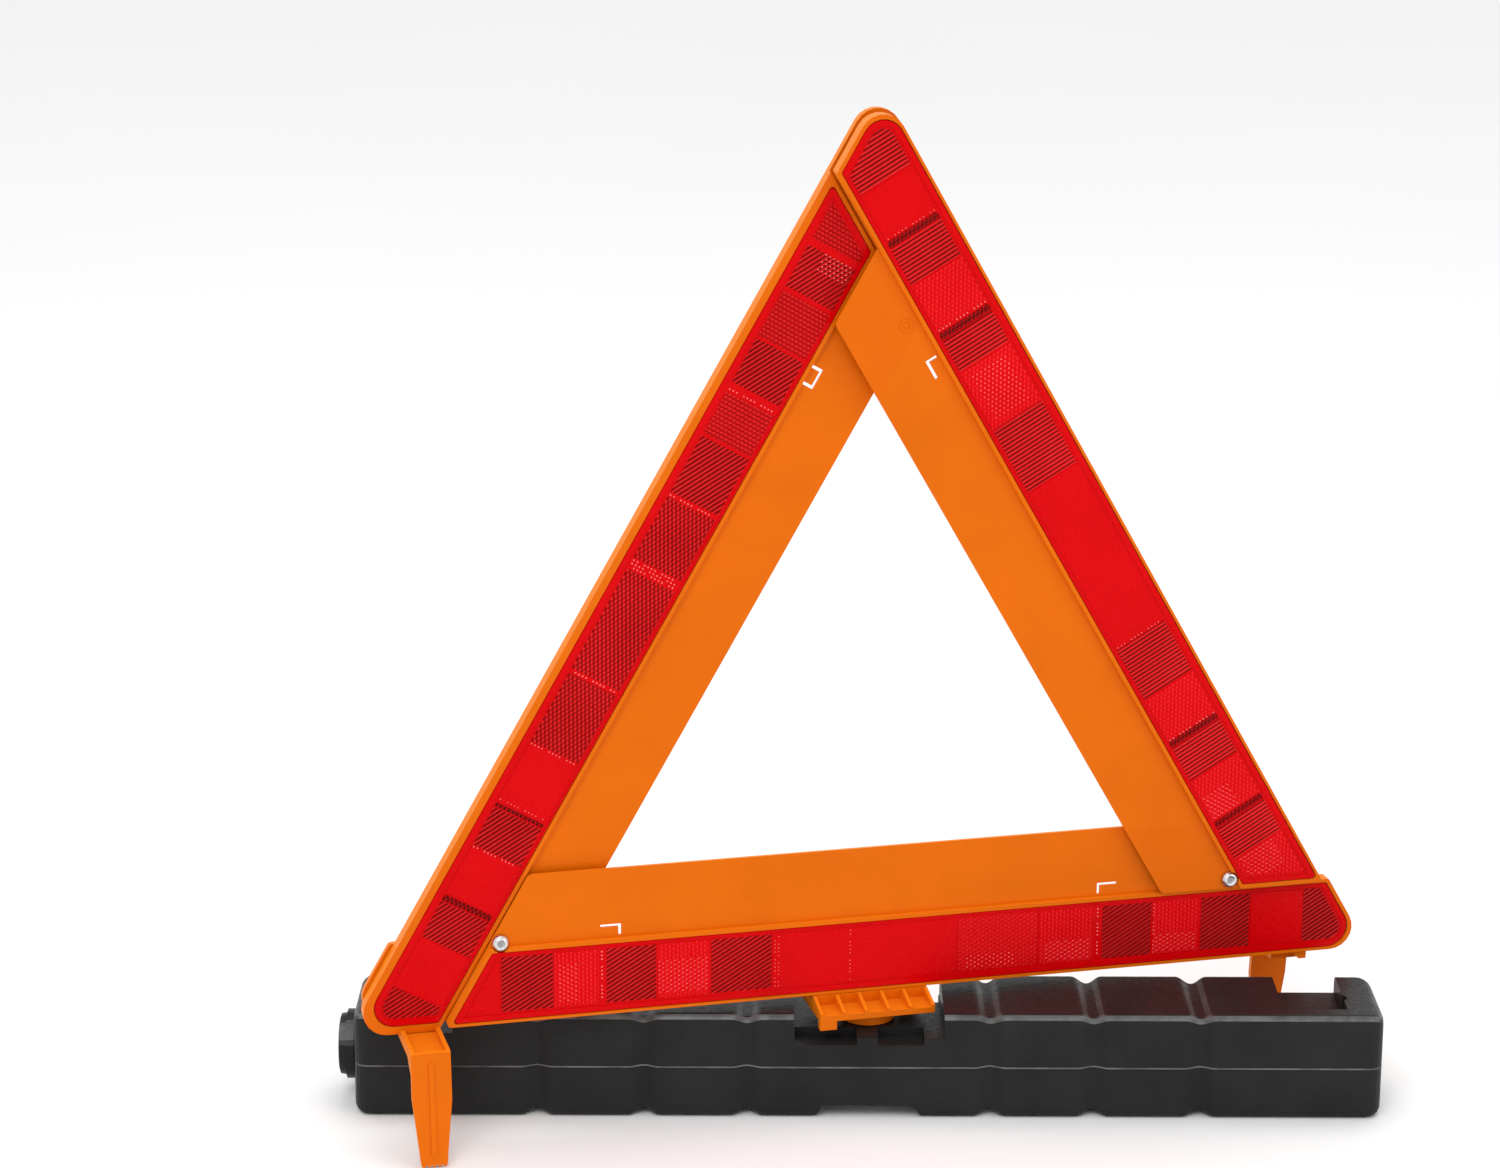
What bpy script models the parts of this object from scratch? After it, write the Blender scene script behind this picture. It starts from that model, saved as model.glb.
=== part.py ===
"""Folding warning triangle on a weighted swivel base.

Three reflector arms form the triangle.  The crossbar carries two feet and a
bracket whose spigot turns in the base; the two side arms fold on rivets.
Lengths in the block below are millimetres; the model is built in metres.
World frame: +X right, +Z up, the front of the triangle faces -Y.
"""
import math

import bpy

MM = 0.001

# ---- triangle -------------------------------------------------------------
SIDE = 433.0             # sharp-corner side length
EDGE_Z = 48.0            # height of the crossbar's lower edge
TRAY_W = {"left": 32.8, "bottom": 32.0, "right": 32.0}    # tray from the outer edge
RIM_OUT = {"left": 3.0, "bottom": 1.0, "right": 1.1}      # outer rim beside the lens
BAR_W = 61.8             # tray plus web
RIM_IN = 1.5             # inner rim beside the lens
TRAY_T = 3.2             # half thickness of a tray
WEB_T = 0.7              # half thickness of a web
LAYER = 4.3              # depth step between neighbouring arms
CUT = 32.6               # a cut end stops this far from its neighbour's edge
CUT_LEFT = 33.4          # same, beside the left arm
TIP_RIGHT = -3.6         # full tips against their neighbour's edge, negative beyond it
TIP_TOP = -0.3
TIP_BACK = -1.4
TIP_LOW = -2.4
CORNER_R = 12.0
LENS_GAP = 0.3
POCKET = 1.9             # pocket depth below the rim
LENS_T = 1.3

# ---- rivets ---------------------------------------------------------------
RIVET_TIP = 36.5         # rivet to the edge of the arm with the full tip
RIVET_CUT = 34.0         # rivet to the edge of the arm with the cut end
SHANK_R = 1.9
HEAD_R = 3.5
BOSS_R = 3.5
NOTCH_R = 3.8
SINK_R = 3.3             # counterbore that lets the right rivet end flush

# ---- base -----------------------------------------------------------------
BASE_L = 424.0
BASE_W = 48.0
BASE_H = 45.0
BASE_YAW = -14.1         # degrees, base against triangle as it stands
WALL = 2.2
ROUND = 3.2
CORNER = 6.0
FLUTES = (50.0, 92.5, 136.5)   # belt grooves, either side of the middle
FLUTE_HALF = 6.4
FLUTE_D = 2.3
SEAM_Z = 22.0
SADDLE = 31.0            # half length of the recess under the bracket
SADDLE_Z = 35.3
CHANNEL = (171.0, 197.5)
CHANNEL_Z = 37.0
CHANNEL_WALL = 9.0
NOTCH = (22.5, 19.0, 5.4)

# ---- bracket, feet --------------------------------------------------------
BRACKET = (24.5, 16.0)
SPIGOT_R = 4.6
FOOT_X = 188.0
FOOT_W = 16.0
FOOT_SOLE_W = 10.4
FOOT_REACH = 31.0
FOOT_LEAN = 0.105        # the leg steps outward by this much per unit of drop
FOOT_TOP = 47.2
PLATE_Z = 43.2

COS30 = math.cos(math.radians(30.0))
ORANGE = ("orange_plastic", (0.87, 0.19, 0.008), 0.38, 0.0)
RED = ("red_lens", (0.66, 0.006, 0.012), 0.12, 0.0)
BLACK = ("black_plastic", (0.018, 0.018, 0.02), 0.42, 0.0)
STEEL = ("zinc_steel", (0.62, 0.63, 0.65), 0.28, 1.0)
SAND = ("sand", (0.42, 0.33, 0.22), 0.95, 0.0)


# ---- mesh helpers ---------------------------------------------------------
def clear_scene():
    """Start from an empty scene."""
    for obj in list(bpy.data.objects):
        bpy.data.objects.remove(obj)


def material(spec):
    """One Principled material per finish."""
    name, colour, rough, metal = spec
    mat = bpy.data.materials.get(name)
    if mat is None:
        mat = bpy.data.materials.new(name)
        mat.use_nodes = True
        shader = mat.node_tree.nodes["Principled BSDF"]
        shader.inputs["Base Color"].default_value = (*colour, 1.0)
        shader.inputs["Roughness"].default_value = rough
        shader.inputs["Metallic"].default_value = metal
        mat.diffuse_color = (*colour, 1.0)
    return mat


def signed_volume(verts, faces):
    """Six times the enclosed volume, negative when the faces point inward."""
    total = 0.0
    for face in faces:
        ax, ay, az = verts[face[0]]
        for i in range(1, len(face) - 1):
            bx, by, bz = verts[face[i]]
            cx, cy, cz = verts[face[i + 1]]
            total += ax * (by * cz - bz * cy) - ay * (bx * cz - bz * cx) + az * (bx * cy - by * cx)
    return total


def add_mesh(name, verts, faces, spec=None, origin=(0.0, 0.0, 0.0)):
    """Object from millimetre vertices, its origin moved to `origin`."""
    if signed_volume(verts, faces) < 0.0:
        faces = [list(face)[::-1] for face in faces]
    mesh = bpy.data.meshes.new(name)
    local = [tuple((v[i] - origin[i]) * MM for i in range(3)) for v in verts]
    mesh.from_pydata(local, [], faces)
    mesh.update()
    obj = bpy.data.objects.new(name, mesh)
    bpy.context.scene.collection.objects.link(obj)
    obj.location = tuple(c * MM for c in origin)
    if spec is not None:
        mesh.materials.append(material(spec))
    return obj


def loft(name, rings, spec=None, origin=(0.0, 0.0, 0.0)):
    """Closed body through rings of equal length, capped at both ends."""
    count = len(rings[0])
    verts = [p for ring in rings for p in ring]
    faces = [list(range(count))[::-1]]
    for k in range(len(rings) - 1):
        low = k * count
        high = low + count
        for i in range(count):
            j = (i + 1) % count
            faces.append([low + i, low + j, high + j, high + i])
    top = (len(rings) - 1) * count
    faces.append([top + i for i in range(count)])
    return add_mesh(name, verts, faces, spec, origin)


def plate(name, outline, near, far, spec=None, origin=(0.0, 0.0, 0.0)):
    """Upright plate: (x, z) outline, anticlockwise from the front, near < far in y."""
    rings = [[(x, y, z) for x, z in outline] for y in (far, near)]
    return loft(name, rings, spec, origin)


def slab(name, outline, low, high, spec=None, origin=(0.0, 0.0, 0.0)):
    """Flat slab: (x, y) outline, anticlockwise from above."""
    rings = [[(x, y, z) for x, y in outline] for z in (low, high)]
    return loft(name, rings, spec, origin)


def box(name, x, y, z, spec=None, origin=(0.0, 0.0, 0.0)):
    """Axis-aligned block from three (low, high) pairs."""
    outline = [(x[0], y[0]), (x[1], y[0]), (x[1], y[1]), (x[0], y[1])]
    return slab(name, outline, z[0], z[1], spec, origin)


def circle(radius, count, centre=(0.0, 0.0)):
    """Points of a circle, anticlockwise."""
    steps = [2.0 * math.pi * i / count for i in range(count)]
    return [(centre[0] + radius * math.cos(a), centre[1] + radius * math.sin(a)) for a in steps]


def pin(name, centre, radius, near, far, count=32):
    """Round pin along y through (x, z) `centre`."""
    return plate(name, circle(radius, count, centre), near, far)


def turned(name, profile, centre, count, spec, origin=None):
    """Body of revolution along y: profile of (y, radius) from front to back."""
    rings = []
    for y, radius in reversed(profile):
        rings.append([(x, y, z) for x, z in circle(radius, count, centre)])
    return loft(name, rings, spec, origin or (centre[0], profile[0][0], centre[1]))


def combine(obj, tool, operation="DIFFERENCE"):
    """Boolean `tool` into `obj`; the tool stays as hidden construction."""
    tool.hide_render = True
    tool.display_type = "WIRE"
    step = obj.modifiers.new(tool.name, "BOOLEAN")
    step.operation = operation
    step.solver = "EXACT"
    step.object = tool
    return obj


# ---- outlines of the triangle ---------------------------------------------
def edge_lines():
    """Inward normal and constant of the edges: offset = nx*x + nz*z + c."""
    half = 0.5 * SIDE * COS30
    return {
        "left": (COS30, -0.5, half + 0.5 * EDGE_Z),
        "bottom": (0.0, 1.0, -EDGE_Z),
        "right": (-COS30, -0.5, half + 0.5 * EDGE_Z),
    }


EDGES = edge_lines()


def clip(points, normal, constant, keep_above, limit):
    """Part of a convex outline on one side of an offset line."""
    sign = 1.0 if keep_above else -1.0
    kept = []
    for i, a in enumerate(points):
        b = points[(i + 1) % len(points)]
        da = sign * (normal[0] * a[0] + normal[1] * a[1] + constant - limit)
        db = sign * (normal[0] * b[0] + normal[1] * b[1] + constant - limit)
        if da >= 0.0:
            kept.append(a)
        if da * db < 0.0:
            t = da / (da - db)
            kept.append((a[0] + t * (b[0] - a[0]), a[1] + t * (b[1] - a[1])))
    return kept


def region(**bounds):
    """Convex outline bounded by offsets from the triangle's edges."""
    points = [(-300.0, -20.0), (300.0, -20.0), (300.0, 520.0), (-300.0, 520.0)]
    for edge, (low, high) in bounds.items():
        nx, nz, constant = EDGES[edge]
        if low is not None:
            points = clip(points, (nx, nz), constant, True, low)
        if high is not None:
            points = clip(points, (nx, nz), constant, False, high)
    return points


def at_offsets(edge_a, off_a, edge_b, off_b):
    """Point at given offsets from two edges."""
    ax, az, ac = EDGES[edge_a]
    bx, bz, bc = EDGES[edge_b]
    ra = off_a - ac
    rb = off_b - bc
    det = ax * bz - az * bx
    return ((ra * bz - az * rb) / det, (ax * rb - ra * bx) / det)


RIVET_L = at_offsets("left", RIVET_TIP, "bottom", RIVET_CUT)
RIVET_R = at_offsets("bottom", RIVET_TIP, "right", RIVET_CUT)


# ---- reflector arms -------------------------------------------------------
def lens_shape(own, ends, inset):
    """Lens outline with generous rounding at full tips only."""
    out = RIM_OUT[own]
    bounds = {own: (out + inset, TRAY_W[own] - RIM_IN - inset)}
    for edge, limit in ends.items():
        rim = max(out, 1.6) if limit < 10.0 else RIM_IN
        bounds[edge] = (limit + rim + inset, None)
    return soft_tips(region(**bounds), CORNER_R - out - inset, 1.4)


def soft_tips(points, tip_radius, other_radius):
    """Round the acute outer corners strongly and the rest lightly."""
    out = []
    count = len(points)
    for i, p in enumerate(points):
        a = points[i - 1]
        b = points[(i + 1) % count]
        ua = (a[0] - p[0], a[1] - p[1])
        ub = (b[0] - p[0], b[1] - p[1])
        cosine = (ua[0] * ub[0] + ua[1] * ub[1]) / math.hypot(*ua) / math.hypot(*ub)
        outer = cosine > 0.3 and outer_corner(p)
        out.extend(corner_arc(a, p, b, tip_radius if outer else other_radius, 7 if outer else 3))
    return out


def outer_corner(p):
    """True near one of the triangle's three corners."""
    offsets = sorted(nx * p[0] + nz * p[1] + c for nx, nz, c in EDGES.values())
    return offsets[1] < 12.0


def corner_arc(a, p, b, radius, steps):
    """Arc replacing corner p between neighbours a and b."""
    la = math.dist(a, p)
    lb = math.dist(b, p)
    ua = ((a[0] - p[0]) / la, (a[1] - p[1]) / la)
    ub = ((b[0] - p[0]) / lb, (b[1] - p[1]) / lb)
    half = 0.5 * math.acos(max(-1.0, min(1.0, ua[0] * ub[0] + ua[1] * ub[1])))
    reach = min(radius / math.tan(half), 0.45 * la, 0.45 * lb)
    r = reach * math.tan(half)
    norm = math.hypot(ua[0] + ub[0], ua[1] + ub[1])
    cx = p[0] + (ua[0] + ub[0]) / norm * r / math.sin(half)
    cz = p[1] + (ua[1] + ub[1]) / norm * r / math.sin(half)
    first = math.atan2(p[1] + ua[1] * reach - cz, p[0] + ua[0] * reach - cx)
    last = math.atan2(p[1] + ub[1] * reach - cz, p[0] + ub[0] * reach - cx)
    sweep = (last - first + math.pi) % (2.0 * math.pi) - math.pi
    angles = [first + sweep * k / steps for k in range(steps + 1)]
    return [(cx + r * math.cos(t), cz + r * math.sin(t)) for t in angles]


def tray(name, own, ends, depth, near, far, spec=None, origin=(0.0, 0.0, 0.0)):
    """Reflector tray strip along edge `own`, between two end limits."""
    bounds = {own: (0.0, TRAY_W[own])}
    for edge, limit in ends.items():
        bounds[edge] = (limit, None)
    outline = soft_tips(region(**bounds), CORNER_R, 1.2)
    return plate(name, outline, depth + near, depth + far, spec, origin)


def web(name, own, ends, depth):
    """Thin web strip inside the tray."""
    bounds = {own: (TRAY_W[own] - 4.0, BAR_W)}
    for edge, limit in ends.items():
        bounds[edge] = (limit, None)
    outline = soft_tips(region(**bounds), 3.0, 3.0)
    return plate(name, outline, depth - WEB_T, depth + WEB_T)


def cut_pocket(panel, own, ends, depth, side):
    """Sink a lens pocket into the front (-1) or back (+1) of a tray."""
    outer = depth + side * (TRAY_T + 1.0)
    floor = depth + side * (TRAY_T - POCKET)
    name = panel.name + ("_pocket_f" if side < 0 else "_pocket_b")
    combine(panel, plate(name, lens_shape(own, ends, 0.0), min(outer, floor), max(outer, floor)))


def lens(name, own, ends, depth, side, origin):
    """Moulded reflector lying in its pocket."""
    low = depth + side * (TRAY_T - POCKET + LENS_GAP)
    high = low + side * LENS_T
    return plate(name, lens_shape(own, ends, LENS_GAP), min(low, high), max(low, high), RED, origin)


def drill(obj, name, centre, radius, near, far, count=32):
    """Round hole or notch along y."""
    combine(obj, pin(name, centre, radius, near, far, count))


def slot(obj, name, own, along, depth, legs):
    """Snap slit in the web beside the tray: a bar with a leg at one or both ends."""
    nx, nz, _ = EDGES[own]
    tx, tz = -nz, nx
    mid = middle_of(own)
    start = TRAY_W[own] + 0.9
    shape = [(-4.4, 0.0), (-3.1, 0.0), (-3.1, 3.7)] if legs[0] else [(-4.4, 3.7)]
    shape += [(3.1, 3.7), (3.1, 0.0), (4.4, 0.0)] if legs[1] else [(4.4, 3.7)]
    shape += [(4.4, 5.0), (-4.4, 5.0)]
    corners = []
    for u, v in shape:
        step = start + v
        corners.append((mid[0] + nx * step + tx * (along + u), mid[1] + nz * step + tz * (along + u)))
    area = sum(corners[i - 1][0] * c[1] - c[0] * corners[i - 1][1] for i, c in enumerate(corners))
    if area < 0.0:
        corners.reverse()
    combine(obj, plate(name, corners, depth - 2.0, depth + 2.0))


def middle_of(own):
    """Middle point of a triangle edge."""
    height = SIDE * COS30
    mids = {
        "bottom": (0.0, 0.0),
        "left": (-SIDE / 4.0, height / 2.0),
        "right": (SIDE / 4.0, height / 2.0),
    }
    x, z = mids[own]
    return (x, z + EDGE_Z)


def crossbar():
    """Fixed lower bar of the triangle, with its tail behind the left tip."""
    ends = {"left": CUT_LEFT, "right": TIP_RIGHT}
    panel = tray("crossbar_panel", "bottom", ends, 0.0, -TRAY_T, TRAY_T, ORANGE)
    combine(panel, web("crossbar_web", "bottom", {"left": CUT_LEFT - 0.3, "right": 20.0}, 0.0), "UNION")
    combine(panel, tail(), "UNION")
    combine(panel, hook(), "UNION")
    for side, tag in ((-1, "front"), (1, "back")):
        cut_pocket(panel, "bottom", ends, 0.0, side)
        lens(f"crossbar_lens_{tag}", "bottom", ends, 0.0, side, (0.0, 0.0, 0.0))
    drill(panel, "crossbar_notch_f", RIVET_L, NOTCH_R, -TRAY_T - 1.0, -WEB_T + 0.05)
    drill(panel, "crossbar_notch_b", RIVET_L, NOTCH_R, WEB_T - 0.05, TRAY_T + 1.0)
    drill(panel, "crossbar_hole_l", RIVET_L, SHANK_R + 0.3, -2.0, 2.0)
    drill(panel, "crossbar_hole_r", RIVET_R, SHANK_R + 0.3, -2.0, 2.0)
    drill(panel, "crossbar_sink", RIVET_R, SINK_R, -0.1, 2.0)
    slot(panel, "crossbar_slot_l", "bottom", 109.0, 0.0, (True, False))
    slot(panel, "crossbar_slot_r", "bottom", -103.5, 0.0, (False, True))
    combine(panel, box("crossbar_socket", (-15.4, 15.4), (-1.1, 1.1), (EDGE_Z - 1.0, EDGE_Z + 2.0)))
    return panel


def tail():
    """Rear layer of the crossbar: corner plate and the bridge that carries it."""
    near = LAYER + TRAY_T + 0.4
    far = near + 2.7
    outline = soft_tips(region(left=(-1.4, 31.0), bottom=(1.8, 34.0)), CORNER_R, 2.0)
    body = plate("tail_corner", outline, near, far)
    strip = box("tail_strip", (-197.0, -150.0), (near + 0.1, far - 0.1), (EDGE_Z + 1.95, EDGE_Z + 8.0))
    combine(body, strip, "UNION")
    bridge = box("tail_bridge", (-169.0, -149.0), (0.0, far - 0.3), (EDGE_Z + 0.4, EDGE_Z + 2.9))
    combine(body, bridge, "UNION")
    return body


def hook():
    """Storage hook under the right end of the crossbar."""
    low = EDGE_Z - 3.7
    top = EDGE_Z + 1.0
    outline = [(190.6, low), (193.8, low), (193.8, top), (187.2, top), (187.2, EDGE_Z - 0.2)]
    return plate("crossbar_hook", outline, -1.6, 1.6)


def left_arm():
    """Side arm behind the crossbar; its rear layer runs on behind the apex."""
    origin = (RIVET_L[0], LAYER, RIVET_L[1])
    front_ends = {"bottom": TIP_LOW, "right": CUT}
    back_ends = {"bottom": TIP_LOW, "right": TIP_BACK}
    panel = tray("left_arm_panel", "left", back_ends, LAYER, -TRAY_T, TRAY_T, ORANGE, origin)
    step = region(left=(-10.0, 50.0), right=(-10.0, CUT), bottom=(200.0, None))
    combine(panel, plate("left_arm_step", step, LAYER - TRAY_T - 1.0, LAYER - WEB_T - 0.1))
    combine(panel, web("left_arm_web", "left", {"bottom": 22.0, "right": 20.0}, LAYER), "UNION")
    boss = pin("left_arm_boss", RIVET_L, BOSS_R, LAYER - TRAY_T + 0.05, LAYER)
    combine(panel, boss, "UNION")
    cut_pocket(panel, "left", front_ends, LAYER, -1)
    cut_pocket(panel, "left", back_ends, LAYER, 1)
    lens("left_arm_lens_front", "left", front_ends, LAYER, -1, origin)
    lens("left_arm_lens_back", "left", back_ends, LAYER, 1, origin)
    drill(panel, "left_arm_hole", RIVET_L, SHANK_R + 0.3, 0.0, 9.0)
    slot(panel, "left_arm_slot", "left", 104.5, LAYER, (True, True))
    return panel


def right_arm():
    """Side arm in front of the crossbar, with the full tip at the apex."""
    origin = (RIVET_R[0], -LAYER, RIVET_R[1])
    ends = {"left": TIP_TOP, "bottom": CUT}
    panel = tray("right_arm_panel", "right", ends, -LAYER, -TRAY_T, TRAY_T, ORANGE, origin)
    web_ends = {"left": CUT - 1.9, "bottom": CUT - 0.3}
    combine(panel, web("right_arm_web", "right", web_ends, -LAYER), "UNION")
    combine(panel, pin("right_arm_boss", RIVET_R, BOSS_R, -LAYER, -LAYER + TRAY_T - 0.05), "UNION")
    ring = (11.0, EDGE_Z + 281.0)
    combine(panel, pin("right_arm_ring", ring, 2.6, -LAYER - WEB_T - 0.5, -LAYER), "UNION")
    for side, tag in ((-1, "front"), (1, "back")):
        cut_pocket(panel, "right", ends, -LAYER, side)
        lens(f"right_arm_lens_{tag}", "right", ends, -LAYER, side, origin)
    drill(panel, "right_arm_notch", RIVET_R, NOTCH_R, -LAYER - TRAY_T - 1.0, -LAYER - WEB_T + 0.05)
    drill(panel, "right_arm_hole", RIVET_R, SHANK_R + 0.3, -9.0, 0.0)
    drill(panel, "right_arm_ring_dish", ring, 1.7, -9.0, -LAYER - WEB_T - 0.05, 24)
    slot(panel, "right_arm_slot", "right", -108.0, -LAYER, (True, False))
    return panel


# ---- rivets ---------------------------------------------------------------
def rivet(name, centre, front, tail_in, roll):
    """Dished dome head before the `front` web face, rolled end from `tail_in` on."""
    head = front - 0.3
    profile = [
        (head - 1.5, 1.2),
        (head - 2.0, 1.6),
        (head - 2.2, 2.1),
        (head - 1.9, 2.7),
        (head - 1.2, 3.25),
        (head - 0.4, HEAD_R),
        (head, HEAD_R),
        (head, SHANK_R),
        (tail_in, SHANK_R),
        (tail_in, roll),
        (tail_in + 0.55, roll - 0.2),
    ]
    return turned(name, profile, centre, 28, STEEL)


def rivets():
    """The two fold rivets; the left one holds a washer behind its web."""
    back = LAYER + WEB_T + 0.3
    rivet("rivet_left", RIVET_L, -WEB_T, back + 0.9, 2.8)
    rivet("rivet_right", RIVET_R, -LAYER - WEB_T, 0.2, 2.8)
    ring = plate("rivet_left_washer", circle(3.4, 28, RIVET_L), back, back + 0.6, STEEL,
                 (RIVET_L[0], back, RIVET_L[1]))
    drill(ring, "rivet_left_washer_bore", RIVET_L, SHANK_R + 0.3, back - 1.0, back + 2.0, 28)


# ---- feet -----------------------------------------------------------------
def place_foot(points, turn):
    """Foot coordinates to world: `turn` is +1 for the left foot, -1 for the right."""
    return [(-turn * FOOT_X + turn * x, turn * y, z) for x, y, z in points]


def foot_prism(name, outline, turn, low, high, plane, spec=None):
    """Extrude an outline in the foot's own frame, leg toward -y."""
    rings = []
    for level in (low, high):
        if plane == "xz":
            ring = [(x, level + FOOT_LEAN * z, z) for x, z in outline]
        else:
            ring = [(level, y, z) for y, z in outline]
        rings.append(place_foot(ring, turn))
    if plane == "xz":
        rings.reverse()
    return loft(name, rings, spec)


def sole_outline():
    """Front view of the leg: tapered, with a serrated sole."""
    half = 0.5 * FOOT_W
    sole = 0.5 * FOOT_SOLE_W
    points = [(half, FOOT_TOP), (-half, FOOT_TOP), (-half, 28.0), (-sole, 0.9)]
    teeth = 5
    for k in range(teeth):
        x = -sole + FOOT_SOLE_W * (k + 0.5) / teeth
        points.append((x, 0.4))
        if k < teeth - 1:
            points.append((x + 0.5 * FOOT_SOLE_W / teeth, 1.5))
    points += [(sole, 0.9), (half, 28.0)]
    return points


def foot(name, turn, root):
    """L-shaped foot: plate, side walls, tapered leg and clip; `root` is the clip's inner face."""
    half = 0.5 * FOOT_W
    body = foot_prism(name, sole_outline(), turn, -FOOT_REACH, -FOOT_REACH + 2.6, "xz", ORANGE)
    front = -FOOT_REACH + FOOT_LEAN * PLATE_Z + 1.0
    top = PLATE_Z + 2.0
    floor = [(front, PLATE_Z), (root + 1.7, PLATE_Z), (root + 1.7, top), (front, top)]
    combine(body, foot_prism(name + "_floor", floor, turn, -half, half, "yz"), "UNION")
    clip_side = [(root, PLATE_Z), (root + 1.7, PLATE_Z), (root + 1.7, 56.4), (root, 56.4)]
    combine(body, foot_prism(name + "_clip", clip_side, turn, -half, half, "yz"), "UNION")
    for side in (-1, 1):
        inner = side * (half - 1.7)
        outer = side * half
        flange = flange_outline(turn)
        low = min(inner, outer)
        high = max(inner, outer)
        combine(body, foot_prism(f"{name}_wall{side}", flange, turn, low, high, "yz"), "UNION")
    rib = [(1.0, 5.0), (1.0, 43.0), (-1.0, 43.0), (-1.0, 5.0)]
    tool = foot_prism(name + "_rib", rib, turn, -FOOT_REACH - 0.7, -FOOT_REACH + 1.0, "xz")
    combine(body, tool, "UNION")
    return body


def flange_outline(turn):
    """Side wall of the foot: up along the plate, back along the leg."""
    rear = -0.6 if turn > 0 else -8.6
    front = -FOOT_REACH
    lean = FOOT_LEAN
    rim = FOOT_TOP + 0.6
    return [
        (front + lean * FOOT_TOP, FOOT_TOP),
        (front + lean * 28.5, 28.5),
        (front + lean * 28.5 + 2.6, 28.5),
        (front + lean * 38.0 + 2.6, 38.0),
        (front + 14.0, PLATE_Z),
        (rear, PLATE_Z),
        (rear, rim),
        (front + lean * FOOT_TOP + 3.0, rim),
    ]


def feet():
    """Left foot steps forward, right foot steps back."""
    near = LAYER + TRAY_T + 0.4
    foot("left_foot", 1, near + 2.7 + 0.3)
    foot("right_foot", -1, -TRAY_T - 0.3 - 1.7)


# ---- bracket --------------------------------------------------------------
def bracket():
    """Ribbed swivel bracket with the spigot that turns in the base."""
    hx, hy = BRACKET
    body = box("swivel_bracket", (-hx, hx), (-hy, hy), (41.0, 43.4), ORANGE)
    combine(body, box("bracket_spine", (-hx, hx), (-3.4, 3.4), (42.5, EDGE_Z - 0.3)), "UNION")
    tongue = box("bracket_tongue", (-15.0, 15.0), (-0.8, 0.8), (EDGE_Z - 1.0, EDGE_Z + 1.7))
    combine(body, tongue, "UNION")
    combine(body, slab("bracket_hub", circle(11.0, 40), SADDLE_Z + 0.3, 42.0), "UNION")
    combine(body, slab("bracket_spigot", circle(SPIGOT_R, 32), 6.2, 37.0), "UNION")
    for turn in (1, -1):
        for k in range(6):
            combine(body, bracket_rib(turn, k), "UNION")
        combine(body, bracket_lug(turn), "UNION")
    combine(body, slab("bracket_pilot", circle(1.9, 24), 4.0, 24.0))
    return body


def bracket_rib(turn, k):
    """One triangular rib on the front or back of the spine."""
    hx, hy = BRACKET
    x = -hx + 0.7 + k * (2.0 * hx - 1.4) / 5.0
    side = [(-3.0, 43.0), (-3.0, EDGE_Z - 0.3), (-4.2, EDGE_Z - 0.3), (-hy, 44.4), (-hy, 43.0)]
    if turn < 0:
        side = [(-y, z) for y, z in reversed(side)]
    rings = [[(x + w, y, z) for y, z in side] for w in (-0.7, 0.7)]
    rings.reverse()
    return loft(f"bracket_rib_{'f' if turn > 0 else 'b'}{k}", rings)


def bracket_lug(turn):
    """Detent lug under a corner of the bracket plate."""
    hx, hy = BRACKET
    x = sorted((-turn * hx, -turn * (hx - 7.0)))
    y = sorted((-turn * hy, -turn * (hy - 3.5)))
    return box(f"bracket_lug_{'f' if turn > 0 else 'b'}", x, y, (SADDLE_Z + 2.0, 42.0))


def pivot_screw():
    """Screw and washer holding the spigot in the base, from below."""
    ring = slab("pivot_washer", circle(8.0, 40), 4.2, 5.0, STEEL)
    combine(ring, slab("pivot_washer_bore", circle(2.4, 28), 3.0, 6.0))
    levels = [(1.5, 2.6), (1.8, 3.6), (2.4, 4.4), (3.9, 4.4), (3.9, 1.55), (20.0, 1.55), (21.0, 0.7)]
    rings = [[(x, y, z) for x, y in circle(r, 28)] for z, r in levels]
    screw = loft("pivot_screw", rings, STEEL)
    for k, (w, d) in enumerate(((2.4, 0.45), (0.45, 2.4))):
        combine(screw, box(f"screw_cross{k}", (-w, w), (-d, d), (0.5, 2.7)))
    return screw


# ---- base -----------------------------------------------------------------
def arc(cx, cy, radius, first, last, steps):
    """Points of an arc, degrees."""
    out = []
    for k in range(steps + 1):
        a = math.radians(first + (last - first) * k / steps)
        out.append((cx + radius * math.cos(a), cy + radius * math.sin(a)))
    return out


def belt(x):
    """Depth of the belt grooves at a place along the base."""
    for centre in FLUTES:
        t = (abs(x) - centre) / FLUTE_HALF
        if abs(t) < 1.0:
            return 0.5 * FLUTE_D * (1.0 + math.cos(math.pi * t))
    return 0.0


def stations(inset):
    """Places along the base with the rounding of its ends: (x, side inset, top inset)."""
    half = 0.5 * BASE_L - CORNER
    reach = CORNER - inset
    ends = []
    for k in range(6):
        a = math.radians(90.0 * k / 5)
        shrink = 1.0 - math.cos(a)
        ends.append((half + reach * math.sin(a), reach * shrink, (ROUND - 0.3 * inset) * shrink))
    places = []
    for centre in FLUTES:
        places += [centre + FLUTE_HALF * (k / 6.0 - 1.0) for k in range(13)]
    middle = [(x, 0.0, 0.0) for x in sorted([-x for x in places] + places)]
    left = [(-x, side, top) for x, side, top in reversed(ends)]
    return left + middle + ends


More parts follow.
